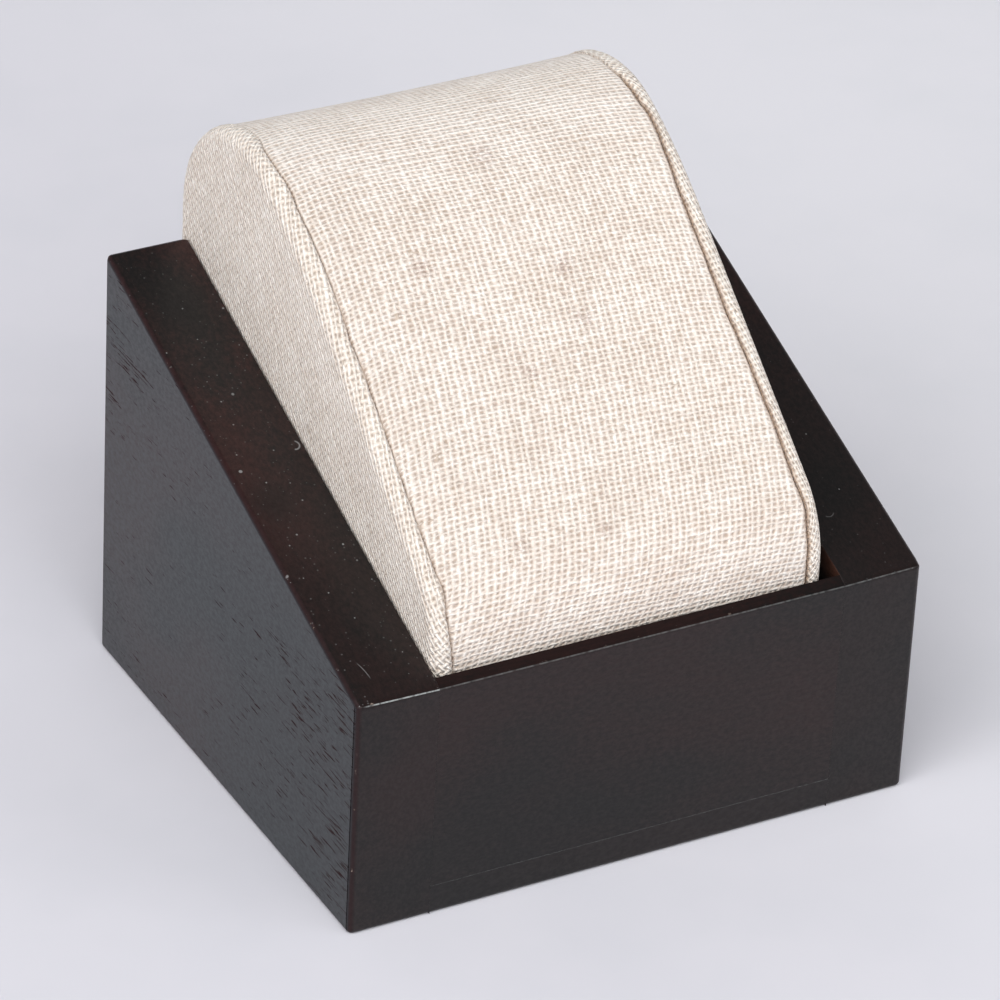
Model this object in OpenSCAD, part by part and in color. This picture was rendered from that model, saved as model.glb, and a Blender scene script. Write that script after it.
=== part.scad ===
// Display stand for one watch: a stained wood base holds a linen-covered ramp pad.
// Origin: centre of the underside of the base. X to the right, Y to the back, Z up.

/* [Base] */
// Width of the base
base_w = 90; // [75:1:120]
// Depth of the base, front to back
base_d = 81.4; // [72:0.2:95]
// Height of the base at its front edge
front_h = 38; // [30:0.5:45]
// Height of the base at its back edge
back_h = 67; // [55:0.5:78]
// Thickness of each solid side block
side_t = 12.7; // [8:0.1:16]
// Thickness of the front panel set between the side blocks
panel_t = 1.6; // [1.2:0.1:3]
// Thickness of the bottom board set between the side blocks
bottom_t = 4.8; // [3:0.2:8]
// Radius of the sanded edges of the wood
ease_r = 0.9; // [0.4:0.1:1.4]

/* [Pad fit] */
// Gap between the pad and the left side block, where it leans
gap_left = 0.3; // [0.2:0.1:1]
// Gap between the pad and the right side block
gap_right = 2; // [0.5:0.1:3]
// Gap between the front panel and the front of the pad
gap_front = 1; // [0.5:0.1:3]
// Distance that the pad stands out behind the base
overhang = 3.2; // [0:0.1:6]

/* [Pad shape] */
// Height of the corner of the nose above the front edge of the base
nose_rise = 9.6; // [6:0.1:14]
// Slope of the ramp that carries the watch, in degrees
ramp_angle = 38.3; // [32:0.1:44]
// Length of the ramp, from the corner of the nose to the start of the crown
ramp_len = 59.8; // [52:0.2:64]
// Slope of the crown behind the ramp, in degrees
crown_angle = 25.2; // [18:0.1:30]
// Radius that rounds the nose
nose_r = 15; // [8:0.5:20]
// Radius where the ramp turns into the crown
crown_r = 80; // [30:1:90]
// Radius that turns the crown down into the upright back
back_r = 19.5; // [12:0.5:22]
// Radius of the two lower corners of the pad
foot_r = 2.5; // [1.5:0.1:5]

/* [Linen and end boards] */
// Thickness of the linen
linen_t = 0.5; // [0.3:0.05:0.8]
// Thickness of each stiff end board
board_t = 1.6; // [1.2:0.1:2.4]
// Glue line between an end board and the linen round it
glue_t = 0.05; // [0.03:0.01:0.1]
// Distance that the rim of each end stands out from the linen wrap
rim_h = 0.5; // [0.3:0.05:0.9]
// Radius of the rounded rim of each end
rim_r = 1.2; // [0.9:0.05:1.3]
// Width of the linen hem turned in behind each end board
hem_w = 9; // [5:0.5:14]

/* [Hidden] */

wood = [0.17, 0.12, 0.12];
linen = [0.91, 0.87, 0.82];
fibreboard = [0.60, 0.47, 0.34];
foam = [0.93, 0.92, 0.86];

// Turn of the outline at each flat of an arc, in degrees, on large and on small radii
arc_step = 6;
small_arc_step = 18;
small_r = 5;
// Turn at each flat of a rounded rim or edge, in degrees
rim_step = 30;
// A cut runs this far past the face that it opens
past = 1;

cavity_w = base_w - 2 * side_t;
slope = atan((back_h - front_h) / base_d);
pad_w = cavity_w - gap_left - gap_right;
end_t = board_t + 2 * glue_t + 2 * linen_t;
strip_w = pad_w - 2 * end_t;
pad_left = -cavity_w / 2 + gap_left;
pad_right = pad_left + pad_w;

// Places along the depth are measured from the front face of the base
pad_front = panel_t + gap_front;
pad_back = base_d + overhang;
nose_z = front_h + nose_rise;
crown_y = pad_front + ramp_len * cos(ramp_angle);
crown_z = nose_z + ramp_len * sin(ramp_angle);
peak_z = crown_z + (pad_back - crown_y) * tan(crown_angle);

// Each corner is [place along the depth, height, radius], in order round the outline
pad_corners = [
    [pad_front, bottom_t, foot_r],
    [pad_front, nose_z, nose_r],
    [crown_y, crown_z, crown_r],
    [pad_back, peak_z, back_r],
    [pad_back, bottom_t, foot_r],
];
block_corners = [
    [0, 0, ease_r],
    [0, front_h, ease_r],
    [base_d, back_h, ease_r],
    [base_d, 0, ease_r],
];
panel_corners = [
    [0, bottom_t, 0],
    [0, front_h, ease_r],
    [panel_t, front_h + panel_t * tan(slope), 0],
    [panel_t, bottom_t, 0],
];
bottom_corners = [
    [0, 0, ease_r],
    [0, bottom_t, 0],
    [base_d, bottom_t, ease_r],
    [base_d, 0, ease_r],
];

// Geometry of a convex outline with rounded corners
function spot(c, i) = [c[i][0], c[i][1]];
function after(c, i) = (i + 1) % len(c);
function before(c, i) = (i + len(c) - 1) % len(c);
function unit(v) = v / norm(v);
function to_next(c, i) = unit(spot(c, after(c, i)) - spot(c, i));
function to_last(c, i) = unit(spot(c, before(c, i)) - spot(c, i));
function half_angle(c, i) = acos(to_next(c, i) * to_last(c, i)) / 2;
function edge_len(c, i) = norm(spot(c, after(c, i)) - spot(c, i));
// Length of edge that the round at a corner takes up
function round_run(c, i) = c[i][2] / tan(half_angle(c, i));
// Two rounds that meet on a short edge share it
function edge_fit(c, i) = edge_len(c, i) / max(0.001, round_run(c, i) + round_run(c, after(c, i)));
function fitted_r(c, i) = c[i][2] * min(1, edge_fit(c, i), edge_fit(c, before(c, i)));
function round_r(c, i, inset) = max(0, fitted_r(c, i) - inset);
function inward(c, i) = unit(to_next(c, i) + to_last(c, i));
function round_centre(c, i, inset) =
    spot(c, i) + inward(c, i) * (inset + round_r(c, i, inset)) / sin(half_angle(c, i));
// Direction from the centre of a round to the start of its arc, square to the edge before it
function out_angle(c, i) = atan2(-inward(c, i)[1], -inward(c, i)[0]);
function flats(r, turn) = max(2, ceil(turn / (r > small_r ? arc_step : small_arc_step)));
function arc(centre, r, mid, turn, count) =
    [for (k = [0:count]) centre + r * [cos(mid - turn * (k / count - 0.5)), sin(mid - turn * (k / count - 0.5))]];
function corner_points(c, i, inset) =
    let (r = round_r(c, i, inset), turn = 180 - 2 * half_angle(c, i), centre = round_centre(c, i, inset))
    r > 0.01 ? arc(centre, r, out_angle(c, i), turn, flats(c[i][2], turn)) : [centre];
function outline(c, inset = 0) = [for (i = [0:len(c) - 1]) each corner_points(c, i, inset)];

// A plate with the given outline that is w thick along X, starting at x
module plate(c, x, w, inset = 0) {
    translate([x, -base_d / 2, 0])
        rotate([90, 0, 90])
            linear_extrude(w)
                polygon(outline(c, inset));
}

// A plate whose left and right edges are rounded with the radii r_left and r_right
module soft_plate(c, x, w, r_left, r_right, inset = 0) {
    hull()
        for (a = [0:rim_step:90]) {
            cut_left = r_left * (1 - cos(a));
            cut_right = r_right * (1 - cos(a));
            in_by = max(r_left, r_right) * (1 - sin(a));
            plate(c, x + cut_left, w - cut_left - cut_right, inset + in_by);
        }
}

// A side block is sanded round on its outer edges and stays square where the panel and board meet it
module side_block() {
    hull() {
        soft_plate(block_corners, 0, side_t, ease_r, 0);
        plate(block_corners, ease_r, side_t - ease_r);
    }
}

module left_side_block() {
    color(wood) translate([-base_w / 2, 0, 0]) side_block();
}

module right_side_block() {
    color(wood) mirror([1, 0, 0]) translate([-base_w / 2, 0, 0]) side_block();
}

module front_panel() {
    color(wood) plate(panel_corners, -cavity_w / 2, cavity_w);
}

module bottom_board() {
    color(wood) plate(bottom_corners, -cavity_w / 2, cavity_w);
}

// The firm block that fills the pad between its two ends
module pad_core() {
    color(foam) plate(pad_corners, pad_left + end_t, strip_w, rim_h + linen_t);
}

// One strip of linen that runs all the way round the core
module wrap_strip() {
    color(linen)
        difference() {
            plate(pad_corners, pad_left + end_t, strip_w, rim_h);
            plate(pad_corners, pad_left + end_t - past, strip_w + 2 * past, rim_h + linen_t);
        }
}

// A stiff board at an end of the pad, with the room that its glue line takes added by grow
module end_board(x, grow = 0) {
    edge = rim_r - linen_t;
    soft_plate(pad_corners, x - grow, board_t + 2 * grow, edge, edge, linen_t + glue_t - grow);
}

// Linen pulled over the outer face and rim of an end board and turned in as a hem behind it
module end_cover(x, window_x) {
    difference() {
        soft_plate(pad_corners, x, end_t, rim_r, rim_r);
        end_board(x + linen_t + glue_t, glue_t);
        plate(pad_corners, window_x, linen_t + past, hem_w);
    }
}

module left_end_board() {
    color(fibreboard) end_board(pad_left + linen_t + glue_t);
}

module right_end_board() {
    color(fibreboard) end_board(pad_right - end_t + linen_t + glue_t);
}

module left_end_cover() {
    color(linen) end_cover(pad_left, pad_left + end_t - linen_t);
}

module right_end_cover() {
    color(linen) end_cover(pad_right - end_t, pad_right - end_t - past);
}

left_side_block();
right_side_block();
front_panel();
bottom_board();
pad_core();
wrap_strip();
left_end_board();
right_end_board();
left_end_cover();
right_end_cover();
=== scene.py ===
# %% [markdown]
# # A display stand for one watch
#
# The real object is a wedge-shaped box of dark stained wood that holds a pad covered in
# pale, open-woven linen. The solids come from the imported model, which sets every place and
# size. This file gives them their finish: sanded edges, stained and lacquered wood, and a
# linen cover with its weave, its seams and its raised ends.
#
# Lengths below are written in millimetres, because that is how such an object is made, and
# `MM` turns them into Blender's metres.

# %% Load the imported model
import math
from types import SimpleNamespace
import bpy
import bmesh
from mathutils import Matrix, Vector, noise


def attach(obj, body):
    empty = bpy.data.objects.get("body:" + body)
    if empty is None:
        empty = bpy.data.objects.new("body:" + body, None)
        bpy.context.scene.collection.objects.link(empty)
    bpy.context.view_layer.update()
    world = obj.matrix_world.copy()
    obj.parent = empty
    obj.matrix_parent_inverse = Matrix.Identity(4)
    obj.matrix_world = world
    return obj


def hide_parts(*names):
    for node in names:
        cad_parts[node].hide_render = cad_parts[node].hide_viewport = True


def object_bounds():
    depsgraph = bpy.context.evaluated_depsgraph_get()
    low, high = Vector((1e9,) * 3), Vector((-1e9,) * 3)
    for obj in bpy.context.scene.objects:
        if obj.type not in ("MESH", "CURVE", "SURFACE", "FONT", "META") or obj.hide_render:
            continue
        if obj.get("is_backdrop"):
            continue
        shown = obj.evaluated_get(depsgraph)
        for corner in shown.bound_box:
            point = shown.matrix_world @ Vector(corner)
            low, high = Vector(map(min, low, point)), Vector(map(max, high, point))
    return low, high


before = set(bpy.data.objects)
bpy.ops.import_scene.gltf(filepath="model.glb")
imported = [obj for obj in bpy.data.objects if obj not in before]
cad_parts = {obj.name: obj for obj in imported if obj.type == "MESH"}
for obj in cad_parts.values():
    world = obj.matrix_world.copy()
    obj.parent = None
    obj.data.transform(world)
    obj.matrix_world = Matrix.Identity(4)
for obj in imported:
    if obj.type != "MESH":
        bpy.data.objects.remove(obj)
MM = 0.001
scene = bpy.context.scene
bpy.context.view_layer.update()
print("solids:", sorted(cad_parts))

# %% [markdown]
# ## Camera
#
# The photograph is taken from the front left, looking down, from fairly far away. The camera
# is turned by three plain angles: round the object, down towards it, and a small tilt of the
# camera itself. A long lens keeps the sides of the base almost parallel, as they are there.

# %% Place the camera
AZIMUTH, ELEVATION, ROLL = 29.727, 31.480, 3.014
CAMERA_PLACE = (-0.377655, -0.659263, 0.502246)
camera_data = bpy.data.cameras.new("photo_camera")
camera_data.sensor_width = 36
camera_data.lens = 222.99
camera = bpy.data.objects.new("photo_camera", camera_data)
scene.collection.objects.link(camera)
turned = Matrix.Rotation(math.radians(-AZIMUTH), 4, "Z")
tipped = Matrix.Rotation(math.radians(90 - ELEVATION), 4, "X")
rolled = Matrix.Rotation(math.radians(ROLL), 4, "Z")
camera.matrix_world = Matrix.Translation(CAMERA_PLACE) @ turned @ tipped @ rolled
scene.camera = camera
scene.view_settings.view_transform = "Standard"
print("camera at", [round(v, 3) for v in camera.location])

# %% [markdown]
# ## Light
#
# The photograph has a pale floor with a faint shadow behind the base that spreads to the
# left and right, and none in front. That is the light of one wide soft box, hung above and to
# the left of the camera. A small one on the right draws the line of light along the front
# edges, and a faint one far to the left reaches the left side. The sky overhead is kept darker
# than the horizon, because the sloping wood mirrors it and looks almost black there.

# %% Hang the soft boxes
TARGET = Vector((0, 0, 0.045))


def soft_box(name, azimuth, elevation, width, height, share):
    """A flat lamp that gives the floor about this share of full white."""
    turn, rise = math.radians(azimuth), math.radians(elevation)
    away = Vector((math.sin(turn) * math.cos(rise), -math.cos(turn) * math.cos(rise), math.sin(rise)))
    distance = 2.5
    lamp = bpy.data.lights.new(name, "AREA")
    lamp.shape, lamp.size, lamp.size_y = "RECTANGLE", width, height
    lamp.energy = share * 4 * math.pi * distance**2 / math.sin(rise)
    holder = bpy.data.objects.new(name, lamp)
    holder.location = TARGET + away * distance
    holder.rotation_mode = "QUATERNION"
    holder.rotation_quaternion = (-away).to_track_quat("-Z", "Y")
    scene.collection.objects.link(holder)
    return lamp.energy


print("watts:", [round(w, 2) for w in (
    soft_box("box_front", -39, 48, 3.6, 2.2, 0.79),
    soft_box("box_left", -78, 18, 1.2, 0.6, 0.03),
    soft_box("box_right", 42, 32, 1.2, 1.2, 0.055),
)])

# %% [markdown]
# The world is a soft tent: pale at the horizon, darker towards the top. The pale part also
# serves as the background when the camera looks along the table.

# %% Colour the world
FLOOR_TONE = (0.70, 0.692, 0.742, 1)
bench = SimpleNamespace(tree=None)      # the node tree that is being built


def new_node(kind):
    """A node of this kind in the tree that is being built."""
    return bench.tree.nodes.new("ShaderNode" + kind)


def feed(socket, value):
    """Link an output to a socket, or write a plain value on it."""
    if isinstance(value, bpy.types.NodeSocket):
        bench.tree.links.new(value, socket)
    elif value is not None:
        socket.default_value = value


def parts_of(vector):
    """The outputs X, Y and Z of a vector."""
    node = new_node("SeparateXYZ")
    feed(node.inputs[0], vector)
    return node.outputs


def ramp(value, stops):
    """A colour ramp with the stops (place, colour)."""
    node = new_node("ValToRGB")
    feed(node.inputs["Fac"], value)
    points = node.color_ramp.elements
    while len(points) < len(stops):
        points.new(0.5)
    for point, (place, colour) in zip(points, stops):
        point.position, point.color = place, colour
    return node.outputs["Color"]


world = bpy.data.worlds.new("tent")
scene.world = world
world.use_nodes = True
bench.tree = world.node_tree
bench.tree.nodes.clear()
heights = [(0.0, FLOOR_TONE), (0.35, (0.60, 0.60, 0.63, 1)), (0.75, (0.13, 0.135, 0.14, 1))]
glow = new_node("Background")
feed(glow.inputs["Color"], ramp(parts_of(new_node("TexCoord").outputs["Generated"])["Z"], heights))
feed(new_node("OutputWorld").inputs["Surface"], glow.outputs[0])
print("world:", len(bench.tree.nodes), "nodes")

# %% [markdown]
# ## Small helpers for materials
#
# A material is a chain of small sums. These helpers make one node each in the tree on the bench
# and return its output, so that a recipe reads like a formula.

# %% Node helpers


def calc(operation, *values, clamp=False):
    """One Math node."""
    node = new_node("Math")
    node.operation, node.use_clamp = operation, clamp
    for socket, value in zip(node.inputs, values):
        feed(socket, value)
    return node.outputs[0]


def times(*values, clamp=False):
    return calc("MULTIPLY", *values, clamp=clamp)


def plus(*values):
    return calc("ADD", *values)


def minus(*values, clamp=False):
    return calc("SUBTRACT", *values, clamp=clamp)


def vector_of(*parts):
    """A vector made of its parts."""
    node = new_node("CombineXYZ")
    for socket, value in zip(node.inputs, parts):
        feed(socket, value)
    return node.outputs[0]


def own_place():
    """The place on the object itself, in metres."""
    return new_node("TexCoord").outputs["Object"]


def stored(name, output="Fac"):
    """What the mesh remembers at each point under this name."""
    node = new_node("Attribute")
    node.attribute_name = name
    return node.outputs[output]


def vector_sum(operation, output, *vectors):
    """One Vector Math node."""
    node = new_node("VectorMath")
    node.operation = operation
    for socket, vector in zip(node.inputs, vectors):
        feed(socket, vector)
    return node.outputs[output]


def span(value, low, high, out_low=0.0, out_high=1.0, smooth=True):
    """A Map Range node: low..high becomes out_low..out_high, held at both ends."""
    node = new_node("MapRange")
    node.interpolation_type = "SMOOTHSTEP" if smooth else "LINEAR"
    ends = {"Value": value, "From Min": low, "From Max": high, "To Min": out_low, "To Max": out_high}
    for name, number in ends.items():
        feed(node.inputs[name], number)
    return node.outputs["Result"]


def blend_value(share, first, second):
    """A Mix node for plain values."""
    node = new_node("Mix")
    for label, value in (("Factor", share), ("A", first), ("B", second)):
        feed(next(s for s in node.inputs if s.name == label and s.type == "VALUE"), value)
    return next(s for s in node.outputs if s.type == "VALUE")


def blend(share, first, second, mode="MIX"):
    """A Mix node for colours."""
    node = new_node("Mix")
    node.data_type, node.blend_type = "RGBA", mode
    colours = [s for s in node.inputs if s.type == "RGBA"]
    feed(node.inputs["Factor"], share)
    feed(colours[0], first)
    feed(colours[1], second)
    return next(s for s in node.outputs if s.type == "RGBA")


def stretched(vector, scale, move=(0, 0, 0), turn=(0, 0, 0)):
    """A Mapping node: the pattern is moved, turned and stretched."""
    node = new_node("Mapping")
    feed(node.inputs["Vector"], vector)
    node.inputs["Scale"].default_value = scale
    node.inputs["Location"].default_value = move
    node.inputs["Rotation"].default_value = [math.radians(a) for a in turn]
    return node.outputs[0]


def clouds(vector, scale=1.0, detail=2.0, rough=0.5):
    """A noise texture, from 0 to 1 with most of it near 0.5."""
    node = new_node("TexNoise")
    feed(node.inputs["Vector"], vector)
    for name, number in (("Scale", scale), ("Detail", detail), ("Roughness", rough)):
        node.inputs[name].default_value = number
    return node.outputs["Fac"]


def new_group(name, inputs, outputs):
    """An empty node group on the bench. Returns its tree, and the sockets that it is given and results in."""
    tree = bench.tree = bpy.data.node_groups.new(name, "ShaderNodeTree")
    kinds = {"value": "NodeSocketFloat", "vector": "NodeSocketVector", "colour": "NodeSocketColor"}
    for label, kind, value in inputs:
        socket = tree.interface.new_socket(label, in_out="INPUT", socket_type=kinds[kind])
        if value is not None:
            socket.default_value = value
    for label, kind in outputs:
        tree.interface.new_socket(label, in_out="OUTPUT", socket_type=kinds[kind])
    return tree, tree.nodes.new("NodeGroupInput").outputs, tree.nodes.new("NodeGroupOutput").inputs


def use_group(group, **values):
    """Place a node group in a material. Underscores in the names stand for spaces."""
    node = new_node("Group")
    node.node_tree = group
    for name, value in values.items():
        feed(node.inputs[name.replace("_", " ")], value)
    return node.outputs


def new_material(name):
    """A material with a Principled shader on the bench. Returns the material and the shader."""
    material = bpy.data.materials.new(name)
    material.use_nodes = True
    bench.tree = material.node_tree
    return material, next(n for n in bench.tree.nodes if n.type == "BSDF_PRINCIPLED")


def set_shader(shader, **values):
    """Write or link sockets of a shader. Underscores in the names stand for spaces."""
    for name, value in values.items():
        feed(shader.inputs[name.replace("_", " ")], value)


def raised(height, depth):
    """A Bump node whose height of 1 stands for depth in metres."""
    node = new_node("Bump")
    node.inputs["Strength"].default_value = 1.0
    node.inputs["Distance"].default_value = depth
    feed(node.inputs["Height"], height)
    return node.outputs[0]


# %% [markdown]
# ## Floor
#
# A plain pale sheet, large enough that its edges stay out of every view. It is part of the
# set and not of the object. In the photograph it is a little lighter on the right.

# %% Lay the floor
floor_material, shader = new_material("pale_floor")
place = own_place()
mottle = clouds(place, 26, 3, 0.6)
plain = ramp(mottle, [(0.3, (0.675, 0.672, 0.722, 1)), (0.55, FLOOR_TONE)])
# Painted light: the floor's colour grows lighter towards the right, standing in for the light falling there.
brighter = ramp(mottle, [(0.3, (0.735, 0.735, 0.775, 1)), (0.55, (0.757, 0.752, 0.793, 1))])
rightward = span(parts_of(place)["X"], -0.02, 0.14)
set_shader(
    shader, Base_Color=blend(rightward, plain, brighter), Roughness=0.75, Specular_IOR_Level=0.2)
bm = bmesh.new()
bmesh.ops.create_grid(bm, x_segments=1, y_segments=1, size=4)
floor_mesh = bpy.data.meshes.new("floor")
bm.to_mesh(floor_mesh)
bm.free()
floor_mesh.materials.append(floor_material)
floor = bpy.data.objects.new("floor", floor_mesh)
floor.location.z = -0.00002
scene.collection.objects.link(floor)
floor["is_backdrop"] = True
print("floor", [round(v, 2) for v in floor.dimensions])

# %% [markdown]
# ## Wood: the grain
#
# The base is cut from an open-grained wood and stained nearly black. Up close three things
# show: long pores that the lacquer doesn't fill, soft bands where the stain took more or less
# red, and a fine figure. One group makes all three, from noise stretched along the grain. It
# is placed in two materials, because the grain of the front panel runs across and that of the
# side blocks runs to the back.

# %% Build the grain group
grain_group, given, result = new_group(
    "stained_grain",
    [("Vector", "vector", None), ("Pores", "value", 0.5), ("Red", "value", 0.5)],
    [("Pore", "value"), ("Mottle", "value"), ("Colour", "colour"), ("Height", "value")],
)
spot = given["Vector"]
streaks = clouds(stretched(spot, (3.6, 0.26, 3.6)), 1, 2, 0.5)
crowd = clouds(stretched(spot, (0.10, 0.03, 0.10), (7, 3, 1)), 1, 2, 0.5)
fewer = calc("MULTIPLY_ADD", given["Pores"], -0.28, 0.86)
limit = plus(span(crowd, 0.38, 0.62, 0.07, -0.02), fewer)
pore = times(span(minus(streaks, limit), 0.0, 0.07), 0.8)
feed(result["Pore"], pore)
patches = clouds(stretched(spot, (0.05, 0.022, 0.05), (4, 1, 6)), 1, 2, 0.5)
figure = clouds(stretched(spot, (2.6, 0.3, 2.6), (1, 8, 3)), 1, 3, 0.7)
flecks = clouds(stretched(spot, (1.7, 1.0, 1.7), (6, 2, 5)), 1, 4, 0.75)
feed(result["Mottle"], flecks)
reddish = calc("MULTIPLY_ADD", flecks, 0.9, times(patches, 1.2))
redness = times(span(reddish, 0.74, 1.22), given["Red"], clamp=True)
stain = blend(redness, (0.0066, 0.0060, 0.0058, 1), (0.030, 0.0098, 0.0085, 1))
stain = blend(span(figure, 0.3, 0.7, 0, 0.4), stain, (0.0052, 0.0040, 0.0038, 1))
feed(result["Colour"], blend(pore, stain, (0.022, 0.0052, 0.0050, 1)))
dents = calc("MULTIPLY_ADD", pore, -1, times(figure, 0.12))
feed(result["Height"], dents)
print("grain group:", len(grain_group.nodes), "nodes")

# %% [markdown]
# ## Wood: worn edges, a painted highlight and dust
#
# Handling rubs the lacquer off the sharp edges first. How near a point is to an edge follows
# from its distances to the flat sides: on a face one distance is nothing and the next is
# large, and on an edge both are small. The group takes the second smallest of them. Along the
# edge between the slope and the front a thin pale line, with gaps, is painted where the surface
# looks half forward and half up: a painted highlight, the lamps' reflection in the colour. Dust
# is a scatter of pale specks, of which only those near the surface show, and a few stray fibres
# are drawn as parts of circles.

# %% Build the edge and dust groups
BASE_W, BASE_D, FRONT_H, BACK_H = 90.0, 81.4, 38.0, 67.0
edge_group, given, result = new_group(
    "worn_edge_and_glint",
    [("Vector", "vector", None), ("Facing", "vector", (0, 0, 1)), ("Low", "vector", (0, 0, 0)),
     ("High", "vector", (1, 1, 1)), ("Front height", "value", 38.0), ("Polish", "value", 1.0)],
    [("Nearness", "value"), ("Bare", "value"), ("Painted glint", "value")],
)
spot, low, high, facing = (parts_of(given[name]) for name in ("Vector", "Low", "High", "Facing"))
SLOPE = math.atan2(BACK_H - FRONT_H, BASE_D)
rise = times(plus(spot["Y"], BASE_D / 2), math.tan(SLOPE))
top = plus(given["Front height"], rise)
sides = [minus(spot[axis], low[axis]) for axis in "XYZ"]
sides += [minus(high[axis], spot[axis]) for axis in "XY"]
sides += [times(minus(top, spot["Z"]), math.cos(SLOPE))]
nearest, second = sides[0], 1000.0
for side in sides[1:]:
    second = calc("MINIMUM", second, calc("MAXIMUM", nearest, side))
    nearest = calc("MINIMUM", nearest, side)
feed(result["Nearness"], span(second, 1.0, 0.2))
rub = clouds(given["Vector"], 0.55, 4, 0.65)
fine_rub = clouds(given["Vector"], 3.5, 2, 0.6)
wear_and_glint_breaks = span(plus(rub, times(fine_rub, 0.35)), 0.82, 0.92)
feed(result["Bare"], times(span(second, 0.42, 0.24), wear_and_glint_breaks))
# Painted highlight: a thin line where the surface looks half forward and half up, broken into gaps along the edge.
along = clouds(stretched(given["Vector"], (0.9, 0, 0), (3, 0, 0)), 1, 3, 0.6)
crest = times(span(facing["Y"], -0.66, -0.76), span(facing["Z"], 0.2, 0.4))
crest = times(crest, span(calc("MINIMUM", sides[0], sides[3]), 0.8, 2.3))
wear_and_glint_breaks = plus(span(along, 0.36, 0.56, 0.15, 0.8), span(along, 0.62, 0.7, 0, 0.5))
feed(result["Painted glint"], times(times(crest, wear_and_glint_breaks), given["Polish"], clamp=True))

dust_group, given, result = new_group(
    "settled_dust", [("Vector", "vector", None), ("Amount", "value", 0.5)], [("Mask", "value")])
specks = []
for size, share in ((0.55, 0.075), (0.21, 0.05), (1.3, 0.14)):
    cells = new_node("TexVoronoi")
    feed(cells.inputs["Vector"], given["Vector"])
    cells.inputs["Scale"].default_value = size
    chance = new_node("SeparateColor")
    feed(chance.inputs[0], cells.outputs["Color"])
    reach = times(times(chance.outputs[0], share), given["Amount"])
    near = minus(reach, cells.outputs["Distance"])
    specks.append(span(near, 0.0, 0.02))
coarse = calc("MAXIMUM", specks[0], specks[1])
feed(result["Mask"], calc("MAXIMUM", coarse, times(specks[2], 0.3)))

fibre_group, given, result = new_group(
    "stray_fibre",
    [("Vector", "vector", None), ("Centre", "vector", (0, 0, 0)), ("Radius", "value", 1.0),
     ("Towards", "vector", (1, 0, 0)), ("Reach", "value", 0.5), ("Thickness", "value", 0.1)],
    [("Mask", "value")],
)
from_centre = vector_sum("SUBTRACT", "Vector", given["Vector"], given["Centre"])
flat = stretched(from_centre, (1, 1, 0))
size = vector_sum("LENGTH", "Value", flat)
way = vector_sum("DOT_PRODUCT", "Value", flat, given["Towards"])
beside = calc("ABSOLUTE", minus(size, given["Radius"]))
line = span(calc("DIVIDE", beside, given["Thickness"]), 1.0, 0.3)
within = minus(way, times(size, given["Reach"]))
feed(result["Mask"], times(line, span(within, -0.05, 0.1)))
for group in (edge_group, dust_group, fibre_group):
    print(group.name, len(group.nodes), "nodes")

# %% [markdown]
# ## Wood: the finished materials
#
# The stain is the base colour and the satin lacquer over it is the coat. The lacquer gives
# the grey sheen on the left side, so it is left out in the pores and on the bare edges. A
# bluish grey painted into the colour of the upright sides adds to it as painted sheen, broken
# by the pores, and the pale line along the front edge is a painted highlight.


# %% Mix the wood materials
SIDE_T, PANEL_T, BOTTOM_T = 12.7, 1.6, 4.8
inner = BASE_W / 2 - SIDE_T
half_d = BASE_D / 2
# A reach that leaves no gap in the ring of a fibre, which makes a dot of a fibre without a radius.
ALL_ROUND = -2.0


def shift_of(name):
    """A fixed shift for each part, so that no two boards show the same piece of the pattern."""
    return sum(ord(letter) for letter in name) % 97


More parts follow.
